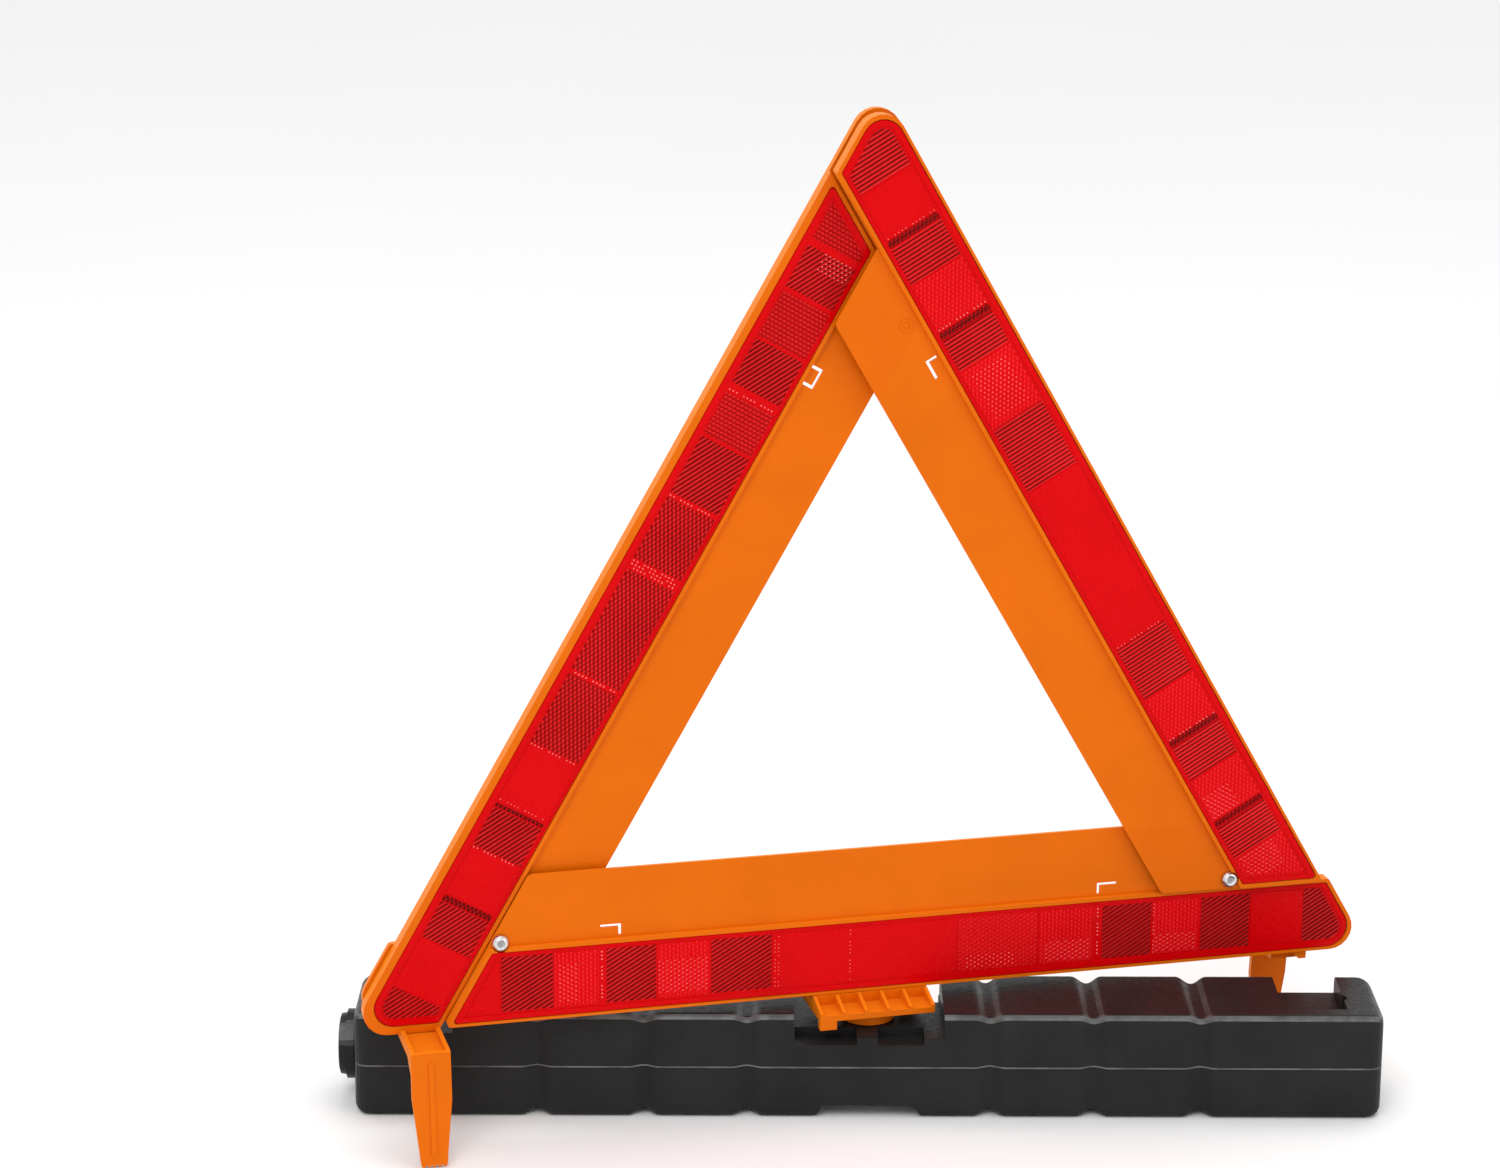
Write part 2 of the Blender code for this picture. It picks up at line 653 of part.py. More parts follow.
def section(y_half, low, high, ridge):
    """Rounded upright outline of the base, with a seam ridge on both sides."""
    y = y_half - ROUND
    seam = [(y_half, SEAM_Z + 0.5), (y_half + ridge, SEAM_Z), (y_half, SEAM_Z - 0.5)]
    points = arc(y, high - ROUND, ROUND, 0.0, 90.0, 4) + arc(-y, high - ROUND, ROUND, 90.0, 180.0, 4)
    points += [(-p[0], p[1]) for p in seam]
    points += arc(-y, low + ROUND, ROUND, 180.0, 270.0, 4) + arc(y, low + ROUND, ROUND, 270.0, 360.0, 4)
    return points + seam[::-1]


def yawed(points, z):
    """Plan points turned by the base's angle, at height z."""
    c = math.cos(math.radians(BASE_YAW))
    s = math.sin(math.radians(BASE_YAW))
    return [(x * c - y * s, x * s + y * c, z) for x, y in points]


def base_rings(inset, top, ridge):
    """Rings along the base, set in by `inset` and closed at height `top`."""
    rings = []
    for x, side, lid in stations(inset):
        groove = belt(x)
        y_half = 0.5 * BASE_W - inset - side - groove
        high = min(top, BASE_H - inset - lid - groove)
        outline = section(y_half, inset + lid + groove, high, ridge)
        rings.append([(*yawed([(x, y)], 0.0)[0][:2], z) for y, z in outline])
    return rings


def yawed_slab(name, outline, low, high):
    """Slab given in the base's own frame."""
    return loft(name, [yawed(outline, low), yawed(outline, high)])


def rect(x, y):
    """Rectangle outline from two (low, high) pairs."""
    return [(x[0], y[0]), (x[1], y[0]), (x[1], y[1]), (x[0], y[1])]


def base_cuts(obj, grow):
    """Saddle, pockets, end channels, bottom notch; `grow` widens them for the inner wall."""
    tag = obj.name
    wide = 0.5 * BASE_W + 5.0
    high = BASE_H + 5.0
    saddle = rect((-SADDLE - grow, SADDLE + grow), (-wide, wide))
    combine(obj, yawed_slab(tag + "_saddle", saddle, SADDLE_Z - grow, high))
    for turn in (1, -1):
        side = "f" if turn > 0 else "b"
        for k, (low, up) in enumerate(((-30.6, -5.0), (3.7, 22.8))):
            x = sorted((turn * (low - grow), turn * (up + grow)))
            y = sorted((-turn * (12.0 - grow), -turn * wide))
            name = f"{tag}_pocket_{side}{k}"
            combine(obj, yawed_slab(name, rect(x, y), 32.0 - grow, high))
        x = sorted((-turn * (CHANNEL[0] - grow), -turn * (CHANNEL[1] + grow)))
        y = sorted((-turn * wide, turn * (0.5 * BASE_W - CHANNEL_WALL + grow)))
        combine(obj, yawed_slab(f"{tag}_channel_{side}", rect(x, y), CHANNEL_Z - grow, high))
    notch_cut(obj, grow)


def notch_cut(obj, grow):
    """Trapezoid notch across the underside."""
    low, top, height = NOTCH
    half = [(low + grow, -1.0), (top + grow, height + grow)]
    shape = half + [(-x, z) for x, z in reversed(half)]
    wide = 0.5 * BASE_W + 5.0
    rings = []
    for y in (-wide, wide):
        flat = yawed([(x, y) for x, _ in shape], 0.0)
        rings.append([(px, py, z) for (px, py, _), (_, z) in zip(flat, shape)])
    combine(obj, loft(obj.name + "_notch", rings))


def end_bore(radius, first, last):
    """Rings of a round body lying along the base at its left end."""
    rings = []
    for x in (first, last):
        ring = []
        for y, z in circle(radius, 40, (0.0, 22.5)):
            px, py, _ = yawed([(x, y)], 0.0)[0]
            ring.append((px, py, z))
        rings.append(ring)
    return rings


def base_shell():
    """Hollow blow-moulded base."""
    shell = loft("base_shell", base_rings(0.0, BASE_H, 0.45), BLACK)
    base_cuts(shell, 0.0)
    cavity = loft("base_cavity", base_rings(WALL, BASE_H - WALL, 0.0))
    base_cuts(cavity, WALL)
    combine(cavity, slab("base_column", circle(8.0, 40), -1.0, BASE_H + 1.0))
    combine(shell, cavity)
    combine(shell, slab("base_bore", circle(SPIGOT_R + 0.4, 32), -1.0, BASE_H + 1.0))
    combine(shell, loft("base_fill", end_bore(11.5, -0.5 * BASE_L - 2.0, -0.5 * BASE_L + 6.0)))
    dent = circle(3.2, 24, (CHANNEL[1] - 1.6, -2.0))
    combine(shell, yawed_slab("base_dent", dent, CHANNEL_Z + 0.5, BASE_H + 2.0))
    return shell


def ballast():
    """Sand filling, settled below the top of the cavity."""
    sand = loft("sand_ballast", base_rings(WALL + 0.5, 33.0, 0.0), SAND)
    base_cuts(sand, WALL + 0.5)
    combine(sand, slab("sand_column", circle(8.5, 40), -1.0, BASE_H))
    combine(sand, loft("sand_cap", end_bore(12.0, -0.5 * BASE_L - 2.0, -0.5 * BASE_L + 7.0)))
    return sand


def filler_cap():
    """Screw cap closing the filling hole at the left end."""
    end = -0.5 * BASE_L
    grip = [(-7.4, 11.6), (-7.0, 12.6), (-4.4, 13.0)]
    levels = grip + [(-4.3, 14.5), (-0.8, 14.5), (-0.7, 11.1), (5.4, 11.1)]
    rings = []
    for dx, radius in levels:
        rings += end_bore(radius, end + dx, end + dx)[:1]
    cap = loft("filler_cap", rings, BLACK)
    slot_tool = yawed_slab("cap_slot", rect((end - 9.0, end - 5.8), (-9.0, 9.0)), 21.3, 23.7)
    combine(cap, slot_tool)
    return cap


def build():
    """Build every piece."""
    clear_scene()
    base_shell()
    ballast()
    filler_cap()
    bracket()
    pivot_screw()
    crossbar()
    feet()
    left_arm()
    right_arm()
    rivets()


build()
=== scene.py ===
"""Looks of the folding warning triangle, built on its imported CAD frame."""
import math

import bmesh
import bpy
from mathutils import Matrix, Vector
from mathutils.geometry import tessellate_polygon


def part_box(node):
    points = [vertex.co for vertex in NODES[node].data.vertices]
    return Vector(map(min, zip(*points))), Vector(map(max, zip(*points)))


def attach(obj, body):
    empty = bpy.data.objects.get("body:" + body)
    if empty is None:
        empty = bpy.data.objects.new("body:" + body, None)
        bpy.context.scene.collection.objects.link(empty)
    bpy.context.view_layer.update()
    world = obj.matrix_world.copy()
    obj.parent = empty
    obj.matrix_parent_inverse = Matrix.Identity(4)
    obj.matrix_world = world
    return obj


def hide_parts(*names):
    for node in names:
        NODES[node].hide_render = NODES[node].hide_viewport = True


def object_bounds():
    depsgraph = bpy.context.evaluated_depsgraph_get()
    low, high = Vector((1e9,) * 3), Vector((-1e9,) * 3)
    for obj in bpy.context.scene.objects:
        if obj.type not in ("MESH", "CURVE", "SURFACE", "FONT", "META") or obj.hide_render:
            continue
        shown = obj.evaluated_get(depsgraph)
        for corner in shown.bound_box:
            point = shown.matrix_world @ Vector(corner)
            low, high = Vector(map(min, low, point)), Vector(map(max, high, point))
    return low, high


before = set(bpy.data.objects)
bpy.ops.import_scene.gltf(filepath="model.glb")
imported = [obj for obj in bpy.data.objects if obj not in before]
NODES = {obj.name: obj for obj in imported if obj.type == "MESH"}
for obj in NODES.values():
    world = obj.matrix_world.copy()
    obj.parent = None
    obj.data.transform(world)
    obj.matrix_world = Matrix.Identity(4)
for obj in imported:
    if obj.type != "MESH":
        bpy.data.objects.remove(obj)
CAD_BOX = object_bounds()
MM = 0.001
COS30 = math.cos(math.radians(30.0))
BAR = 61.8 * MM          # width of an arm, tray and web together
BLUR = 0.3 * MM          # half the width over which a web's painted overlap shade fades
SAME_PLANE = 0.001 * MM  # a vertex this near to a face's plane lies on it
LENS_INSET = 1.3 * MM    # from the crossbar's lower edge to its lens

# ---- reflector moulding, millimetres; u runs along an arm from its middle --
PITCH = 1.65             # distance between neighbouring prism rows
SIDE = PITCH / COS30     # edge of one prism triangle
BORDER_LOW = 3.5         # smooth border along the arm's outer edge
BORDER_HIGH = 2.0        # along its inner edge
BORDER_END = 3.3         # across its ends
LEDGE = 1.1              # flat floor between the border and the prisms
RECESS = 0.34            # depth of that floor
CHAMFER = 0.22           # bevel of a lens's rim
THICK = 1.3              # whole lens
SEAM = 0.15              # half the gap between two cells
TOP = -0.05              # prism crests, below the border's face
CREST = 0.55             # place of a ridge's crest, as a share of the pitch
CELL_SINK = 0.1          # how far a cell reaches below the floor
DOT_R = 0.4              # bead radius
DOT_TAPER = 0.5          # bead's top against its foot
DOT_TOP = -0.01          # bead tops, below the border's face
DOT_SINK = 0.05          # how far a bead reaches below the floor
BEAD_START = 0.8         # first bead of a row, from the prisms' outer edge
BEAD_CLEAR = 0.5         # least distance of a bead from the border
BEAD_STRIDE = 7          # bead k of a row is left out where
BEAD_CYCLE = 5           # k * BEAD_STRIDE + skip is a multiple of BEAD_CYCLE
LENGTHWISE = 0.97        # a lens side runs along the arm past this v part of its normal
FAR = 300.0              # beyond every lens
SAME = 0.01              # corners closer than this are one
TINY = 1e-9              # a corner this near to a cut lies on it

# cell styles: H has ridges, the others prisms; RELIEF is their height
RELIEF = {"H": 0.24, "B": 0.24, "W": 0.18, "M": 0.15, "K": 0.1, "D": 0.1, "P": 0.05}
ROWS = {"left": 30.0, "bottom": 150.0, "right": 90.0}    # ridge direction, degrees from u

# (from u, to u, style) of every cell
CELLS = {
    "left": ((-212, -191.5, "H"), (-191, -168.5, "P"), (-168, -151.2, "H"), (-151, -148, "B"),
             (-147.5, -125.5, "P"), (-125, -107.2, "H"), (-107, -105, "B"), (-104.5, -77.5, "P"),
             (-76.8, -44.9, "W"), (-43, 3, "W"), (8, 36, "W"), (38, 63.8, "H"), (65, 83.8, "M"),
             (88, 108, "H"), (109, 129.5, "M"), (131.3, 150, "H"), (153, 195, "M")),
    "bottom": ((-213, -191, "H"), (-190.5, -167.5, "P"), (-167, -145, "H"), (-144.5, -123.5, "D"),
               (-123, -101, "H"), (-97.5, -73, "D"), (-72.5, -38, "K"), (-37.6, 41.4, "P"),
               (41.9, 67.7, "H"), (68.5, 90, "D"), (90.6, 111.5, "H"), (114.5, 133, "D"),
               (133.4, 155, "H"), (155.5, 195, "P")),
    "right": ((-209, -185.5, "H"), (-185, -164, "P"), (-163.6, -160.2, "B"), (-160, -143, "H"),
              (-142.5, -121.6, "D"), (-120, -116.7, "B"), (-116.5, -101.5, "H"), (-101, -73.5, "D"),
              (-73, -42.4, "H"), (-42, 36.5, "P"), (37.3, 62.9, "H"), (63.5, 84.5, "D"),
              (85, 88.2, "B"), (88.4, 105.6, "H"), (106.2, 127, "D"), (127.5, 130.7, "B"),
              (130.9, 147.5, "H"), (148, 195, "D")),
}
# painted light and shade of the two sides of a ridge, or of the three facets of a prism: lit and
# shaded copies of one red
SHADES = {"H": ("dark", "light"), "B": ("deep", "dark", "mid"), "W": ("dark", "mid", "light"),
          "M": ("mid", "light", "mid"), "K": ("light", "red", "red"), "D": ("red", "red", "pale"),
          "P": ("red", "red", "red")}
# material slots of a reflector; its border is the clear one; all but clear and red are lit, shaded
# or glinting copies of the red, that is painted light and shade
SLOTS = ("clear", "dark", "mid", "light", "red", "pale", "dot", "deep")
CLEAR = SLOTS.index("clear")
# (u, skip) of the bead rows across an arm
BEAD_ROWS = {
    "left": ((-125.6, 1), (-103.4, 3), (-77.6, 2), (-44.0, 0), (4.0, 0), (5.5, 2), (7.0, 1),
             (36.8, 1), (85.0, 4)),
    "bottom": ((-124.0, 2), (-99.2, 0), (8.5, 3), (39.0, 1), (40.6, 4), (113.2, 0)),
    "right": ((-164.4, 1), (-121.0, 2), (36.6, 0), (84.8, 3)),
}
# ((from u, to u), (from v, to v)) of the bead patches, v from the lens's outer edge
BEAD_PATCHES = {
    "left": (((143.0, 150.5), (12.0, 26.0)),),
    "bottom": (((69.5, 89.5), (6.0, 20.0)), ((-142.0, -125.0), (5.0, 12.0)),
               ((-95.0, -76.0), (5.0, 13.0)), ((-62.0, -42.0), (5.0, 10.0)),
               ((124.0, 132.0), (6.0, 22.0)), ((168.0, 172.5), (6.0, 10.0))),
    "right": (((-97.0, -76.0), (8.0, 24.0)), ((116.0, 126.5), (14.0, 27.0)),
              ((149.0, 161.0), (9.0, 25.0))),
}

# inward normal, direction of u and prism family offset of the triangle's sides
EDGE = {
    "left": (Vector((COS30, -0.5)), Vector((0.5, COS30)), 0),
    "bottom": (Vector((0.0, 1.0)), Vector((-1.0, 0.0)), 2),
    "right": (Vector((-COS30, -0.5)), Vector((0.5, -COS30)), 1),
}
# corner angles of a bead
HEX = [math.radians(60.0 * k) for k in range(6)]


# ---- node helpers ---------------------------------------------------------
class Tree:
    """Small helper around a material's node tree."""

    def __init__(self, name, rough, metal=0.0, coat=0.0, coat_rough=0.05, specular=0.5):
        self.mat = bpy.data.materials.new(name)
        self.mat.use_nodes = True
        self.nodes = self.mat.node_tree.nodes
        self.links = self.mat.node_tree.links
        self.shader = self.nodes["Principled BSDF"]
        self.shader.inputs["Roughness"].default_value = rough
        self.shader.inputs["Metallic"].default_value = metal
        self.shader.inputs["Coat Weight"].default_value = coat
        self.shader.inputs["Coat Roughness"].default_value = coat_rough
        self.shader.inputs["Specular IOR Level"].default_value = specular
        self.coords = self.nodes.new("ShaderNodeTexCoord").outputs["Object"]

    def add(self, kind, links=(), **settings):
        """New node; `links` fills its inputs by index or name."""
        node = self.nodes.new("ShaderNode" + kind)
        for key, value in settings.items():
            setattr(node, key, value)
        for key, value in dict(links).items():
            if isinstance(value, bpy.types.NodeSocket):
                self.links.new(value, node.inputs[key])
            else:
                node.inputs[key].default_value = value
        return node

    def noise(self, scale, detail=3.0, rough=0.55, source=None):
        """Noise value, `scale` in features per metre."""
        links = {"Vector": source or self.coords, "Scale": scale, "Detail": detail,
                 "Roughness": rough}
        return self.add("TexNoise", links).outputs[0]

    def ramp(self, source, low, high, start, end):
        """Map start..end of `source` onto low..high, clamped."""
        links = {0: source, 1: start, 2: end, 3: low, 4: high}
        return self.add("MapRange", links).outputs[0]

    def maths(self, operation, first, second=0.0):
        """One maths node."""
        return self.add("Math", {0: first, 1: second}, operation=operation).outputs[0]

    def mix(self, factor, first, second):
        """Blend of two colours."""
        node = self.add("Mix", data_type="RGBA")
        for key, value in (("Factor_Float", factor), ("A_Color", first), ("B_Color", second)):
            socket = next(s for s in node.inputs if s.identifier == key)
            if isinstance(value, bpy.types.NodeSocket):
                self.links.new(value, socket)
            elif isinstance(value, (int, float)):
                socket.default_value = value
            else:
                socket.default_value = (*value, 1.0)
        return next(s for s in node.outputs if s.identifier == "Result_Color")

    def colour(self, socket):
        """Drive the base colour."""
        self.links.new(socket, self.shader.inputs["Base Color"])

    def roughness(self, socket):
        """Drive the roughness."""
        self.links.new(socket, self.shader.inputs["Roughness"])

    def bump(self, height, distance, strength):
        """Bump from a height socket, `distance` in metres."""
        links = {"Height": height, "Distance": distance, "Strength": strength}
        node = self.add("Bump", links)
        self.links.new(node.outputs[0], self.shader.inputs["Normal"])


def scaled(colour, factor):
    """Darker or lighter version of a colour."""
    return tuple(min(1.0, c * factor) for c in colour)


# ---- materials ------------------------------------------------------------
def offset_from(tree, edge):
    """Distance of the shading point inward from a triangle edge, in metres."""
    normal = EDGE[edge][0]
    links = {0: tree.coords, 1: (normal.x, 0.0, normal.y)}
    product = tree.add("VectorMath", links, operation="DOT_PRODUCT")
    return tree.maths("SUBTRACT", product.outputs["Value"], TRIANGLE[edge])


def triangle_constants():
    """Offset constants of the three edges, from the CAD's arms and crossbar lens."""
    out = {"bottom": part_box("crossbar_lens_front")[0].z - LENS_INSET}
    for edge in ("left", "right"):
        normal = EDGE[edge][0]
        vertices = NODES[f"{edge}_arm_panel"].data.vertices
        out[edge] = min(normal.x * v.co.x + normal.y * v.co.z for v in vertices)
    return out


def orange(name, layers=()):
    """Moulded orange plastic, with painted light on faces turned away from the front and back, and
    painted shade on webs where another arm lies behind.
    """
    tree = Tree(name, 0.36, coat=0.02, coat_rough=0.15, specular=0.07)
    web = (0.67, 0.128, 0.0006)
    # darker orange: painted shade where webs overlap
    overlap_shade = (0.64, 0.108, 0.0006)
    # the lighter orange below is painted light: faces turned away from the front and back, such as
    # side walls, take it by their normal
    side_wall_light = (0.80, 0.200, 0.006)
    geometry = tree.add("NewGeometry").outputs["Normal"]
    facing = tree.add("SeparateXYZ", {0: geometry}).outputs[1]
    side = tree.ramp(tree.maths("ABSOLUTE", facing), 1.0, 0.0, 0.35, 0.9)
    cloud = tree.noise(26.0, 4.0)
    shade = tree.mix(tree.ramp(cloud, 0.0, 1.0, 0.32, 0.68), scaled(web, 0.95), scaled(web, 1.045))
    # where another arm's web lies behind, a web takes the darker orange: painted shade
    for edge in layers:
        inside = tree.ramp(offset_from(tree, edge), 1.0, 0.0, BAR - BLUR, BAR + BLUR)
        shade = tree.mix(tree.maths("MULTIPLY", inside, 0.35), shade, overlap_shade)
    tree.colour(tree.mix(side, shade, side_wall_light))
    grain = tree.noise(1500.0, 2.0)
    flow = tree.noise(60.0, 2.0)
    tree.roughness(tree.ramp(tree.maths("ADD", grain, flow), 0.29, 0.46, 0.7, 1.3))
    height = tree.maths("ADD", tree.maths("MULTIPLY", grain, 0.25), flow)
    tree.bump(height, 0.00012, 0.55)
    return tree.mat


def reflector(name, low, high, rough, bump):
    """Glossy red reflector plastic between two shades."""
    tree = Tree(name, rough, coat=0.02, coat_rough=0.05, specular=0.045)
    cloud = tree.noise(32.0, 3.0)
    fine = tree.noise(700.0, 2.0)
    broad = tree.maths("MULTIPLY", cloud, 0.6)
    mixed = tree.maths("ADD", broad, tree.maths("MULTIPLY", fine, 0.4))
    tree.colour(tree.mix(tree.ramp(mixed, 0.0, 1.0, 0.35, 0.65), low, high))
    tree.roughness(tree.ramp(fine, rough, rough + 0.12, 0.35, 0.65))
    tree.bump(tree.maths("ADD", fine, cloud), bump, 0.5)
    return tree.mat


def black_plastic(name, rough, tint):
    """Blow-moulded black plastic with orange peel, faint scuffs, and a patchy painted highlight
    along upward-sloping rounded edges.
    """
    tree = Tree(name, rough, coat=0.04, coat_rough=0.12, specular=0.12)
    # grey of the painted highlight on rounded edges
    highlight_grey = (0.13, 0.13, 0.132)
    peel = tree.noise(420.0, 3.0)
    large = tree.noise(35.0, 3.0)
    streak = tree.add("Mapping", {"Vector": tree.coords, "Scale": (6.0, 40.0, 60.0)})
    scuff = tree.ramp(tree.noise(22.0, 5.0, 0.7, streak.outputs[0]), 0.0, 1.0, 0.6, 0.8)
    base = tree.mix(tree.ramp(large, 0.0, 1.0, 0.3, 0.7), scaled(tint, 0.8), scaled(tint, 1.25))
    scuffed = tree.mix(tree.maths("MULTIPLY", scuff, 0.35), base, scaled(tint, 2.6))
    # rounded edges sloping upward take the lighter grey, patchy with noise: a painted highlight
    tilt = tree.add("SeparateXYZ", {0: tree.add("NewGeometry").outputs["Normal"]}).outputs[2]
    rising = tree.ramp(tilt, 0.0, 1.0, 0.3, 0.5)
    edge = tree.maths("MULTIPLY", rising, tree.ramp(tilt, 1.0, 0.0, 0.8, 0.93))
    painted_highlight = tree.maths("MULTIPLY", edge, tree.ramp(tree.noise(90.0, 3.0), 0.35, 1.0, 0.3, 0.62))
    tree.colour(tree.mix(painted_highlight, scuffed, highlight_grey))
    worn = tree.maths("MULTIPLY", scuff, 0.12)
    tree.roughness(tree.maths("ADD", tree.ramp(peel, rough - 0.05, rough + 0.1, 0.35, 0.65), worn))
    height = tree.maths("ADD", peel, tree.maths("MULTIPLY", large, 2.0))
    tree.bump(height, 0.00022, 0.6)
    return tree.mat


def zinc(name):
    """Bright zinc plate with turning marks and a duller middle."""
    tree = Tree(name, 0.26, metal=1.0)
    local = tree.nodes.new("ShaderNodeTexCoord").outputs["Generated"]
    parts = tree.add("SeparateXYZ", {0: local}).outputs
    dx = tree.maths("SUBTRACT", parts[0], 0.5)
    dz = tree.maths("SUBTRACT", parts[2], 0.5)
    across = tree.maths("MULTIPLY", dx, dx)
    radius = tree.maths("SQRT", tree.maths("ADD", across, tree.maths("MULTIPLY", dz, dz)))
    grime = tree.noise(1400.0, 4.0)
    ragged = tree.maths("ADD", radius, tree.maths("MULTIPLY", grime, 0.08))
    middle = tree.ramp(ragged, 1.0, 0.0, 0.16, 0.3)
    bright = tree.mix(tree.ramp(grime, 0.0, 1.0, 0.3, 0.7), (0.6, 0.61, 0.63), (0.8, 0.81, 0.82))
    tree.colour(tree.mix(tree.maths("MULTIPLY", middle, 0.7), bright, (0.16, 0.155, 0.15)))
    tree.roughness(tree.ramp(grime, 0.18, 0.4, 0.3, 0.7))
    rings = tree.maths("SINE", tree.maths("MULTIPLY", radius, 150.0))
    tree.bump(tree.maths("ADD", tree.maths("MULTIPLY", rings, 0.3), grime), 0.00004, 0.6)
    return tree.mat


def sand_grain(name):
    """Coarse dry sand."""
    tree = Tree(name, 0.95)
    grain = tree.noise(2600.0, 4.0, 0.7)
    tree.colour(tree.mix(grain, (0.25, 0.18, 0.11), (0.6, 0.5, 0.36)))
    tree.bump(grain, 0.0004, 0.9)
    return tree.mat


def dress(node, mat):
    """Give a CAD node its finished material."""
    slots = NODES[node].data.materials
    slots.clear()
    slots.append(mat)


# ---- reflector geometry ---------------------------------------------------
def outline_of(node, side):
    """Outer face of a lens node as (x, z) loop points, plus its y."""
    mesh = NODES[node].data
    ys = [v.co.y for v in mesh.vertices]
    outer = min(ys) if side < 0 else max(ys)
    faces = [p for p in mesh.polygons
             if all(abs(mesh.vertices[i].co.y - outer) < SAME_PLANE for i in p.vertices)]
    follow = {}
    for face in faces:
        ring = list(face.vertices)
        for a, b in zip(ring, ring[1:] + ring[:1]):
            follow.setdefault(key_of(mesh, a), []).append(key_of(mesh, b))
    return chain(follow), outer


def key_of(mesh, index):
    """Vertex place on the face, rounded to a tenth of a micrometre."""
    co = mesh.vertices[index].co
    return (round(co.x, 7), round(co.z, 7))


def chain(follow):
    """Outline left when every edge shared by two faces is removed."""
    edges = {(a, b) for a, ends in follow.items() for b in ends}
    step = {a: b for a, b in edges if (b, a) not in edges}
    start = next(iter(step))
    loop = [start]
    while step[loop[-1]] != start:
        loop.append(step[loop[-1]])
    return loop


def to_uv(point, edge):
    """Along and inward coordinates of an (x, z) point from the centroid, in millimetres."""
    normal, along, _ = EDGE[edge]
    step = Vector((point[0], point[1] - CENTRE_Z))
    return (step.dot(along) / MM, step.dot(normal) / MM)


def cut(points, nu, nv, limit):
    """Part of a polygon with nu*u + nv*v >= limit; further coordinates follow."""
    kept = []
    for i, a in enumerate(points):
        b = points[(i + 1) % len(points)]
        da = nu * a[0] + nv * a[1] - limit
        db = nu * b[0] + nv * b[1] - limit
        if da >= 0.0:
            kept.append(a)
        if (da > TINY and db < -TINY) or (da < -TINY and db > TINY):
            t = da / (da - db)
            kept.append(tuple(x + t * (y - x) for x, y in zip(a, b)))
    return kept


def inner_planes(loop, extra):
    """Half planes set in from a convex outline by the border plus `extra`."""
    planes = []
    for i, a in enumerate(loop):
        b = loop[(i + 1) % len(loop)]
        length = math.dist(a, b)
        nu = (a[1] - b[1]) / length
        nv = (b[0] - a[0]) / length
        border = BORDER_END
        if nv > LENGTHWISE:
            border = BORDER_LOW
        elif nv < -LENGTHWISE:
            border = BORDER_HIGH
        planes.append((nu, nv, nu * a[0] + nv * a[1] + border + extra))
    return planes


def clipped(points, planes):
    """Polygon cut by every half plane, empty when nothing is left."""
    for plane in planes:
        points = cut(points, *plane)
        if len(points) < 3:
            return []
    return points


def anticlockwise(loop):
    """The loop, reversed when it runs clockwise."""
    area = sum(loop[i - 1][0] * p[1] - p[0] * loop[i - 1][1] for i, p in enumerate(loop))
    return loop if area > 0.0 else loop[::-1]


def clean(points):
    """Polygon without repeated corners."""
    return [p for i, p in enumerate(points) if math.dist(p, points[i - 1]) > SAME]


def prism_triangles(u0, u1, v0, v1):
    """Corner triangles of the prism lattice over a box, with each side's row family."""
    step = Vector((SIDE * COS30, SIDE * 0.5))
    first = int(u0 / step.x) - 1
    last = int(u1 / step.x) + 1
    for i in range(first, last + 1):
        base = i * step.y
        for j in range(int((v0 - base) / SIDE) - 2, int((v1 - base) / SIDE) + 2):
            p = (i * step.x, base + j * SIDE)
            q = (p[0] + step.x, p[1] + step.y)
            r = (p[0], p[1] + SIDE)
            s = (q[0], q[1] + SIDE)
            yield (p, q, r), (0, 2, 1)
            yield (q, s, r), (1, 0, 2)


def facets(u0, u1, v0, v1, origin, relief):
    """Three sloping facets over every prism triangle."""
    box = (u0 - origin[0], u1 - origin[0], v0 - origin[1], v1 - origin[1])
    for corners, families in prism_triangles(*box):
        pts = [(c[0] + origin[0], c[1] + origin[1], -relief) for c in corners]
        middle = (sum(p[0] for p in pts) / 3.0, sum(p[1] for p in pts) / 3.0, 0.0)
        for k in range(3):
            yield (pts[k], pts[(k + 1) % 3], middle), families[k]


def ridges(u0, u1, v0, v1, angle, relief):
    """Long two-sided ridges over a box."""
    d = (math.cos(math.radians(angle)), math.sin(math.radians(angle)))
    n = (-d[1], d[0])
    offsets = [n[0] * u + n[1] * v for u in (u0, u1) for v in (v0, v1)]
    mid = (0.5 * (u0 + u1), 0.5 * (v0 + v1))
    reach = math.dist((u0, v0), (u1, v1))
    along = d[0] * mid[0] + d[1] * mid[1]
    for row in range(int(min(offsets) / PITCH) - 2, int(max(offsets) / PITCH) + 2):
        lines = ((row, -relief), (row + CREST, 0.0), (row + 1, -relief))
        for k in range(2):
            quad = []
            ends = ((lines[k], -1), (lines[k], 1), (lines[k + 1], 1), (lines[k + 1], -1))
            for (at, w), s in ends:
                t = along + s * reach
                quad.append((d[0] * t + n[0] * at * PITCH, d[1] * t + n[1] * at * PITCH, w))
            yield quad, k


def cell_faces(edge, cell, planes, field):
    """Clipped facets of one cell as (points, slot)."""
    start, end, style = cell
    v0 = min(p[1] for p in field)
    v1 = max(p[1] for p in field)
    u0 = start + SEAM
    u1 = end - SEAM
    corners = [(u, v) for u in (u0, u1) for v in (v0, v1)]
    near = [p for p in planes if min(p[0] * c[0] + p[1] * c[1] for c in corners) < p[2]]
    near += [(1.0, 0.0, u0), (-1.0, 0.0, -u1), (0.0, 1.0, v0), (0.0, -1.0, -v1)]
    shades = SHADES[style]
    if style == "H":
        source = ridges(u0, u1, v0, v1, ROWS[edge], RELIEF[style])
    else:
        source = facets(u0, u1, v0, v1, (start, v0), RELIEF[style])
    for points, family in source:
        points = clean(clipped(points, near))
        if len(points) > 2:
            # a facet takes a lit or shaded copy of the red by its direction: painted light and
            # shade
            pick = family if style == "H" else (family - EDGE[edge][2]) % 3
            yield points, SLOTS.index(shades[pick])


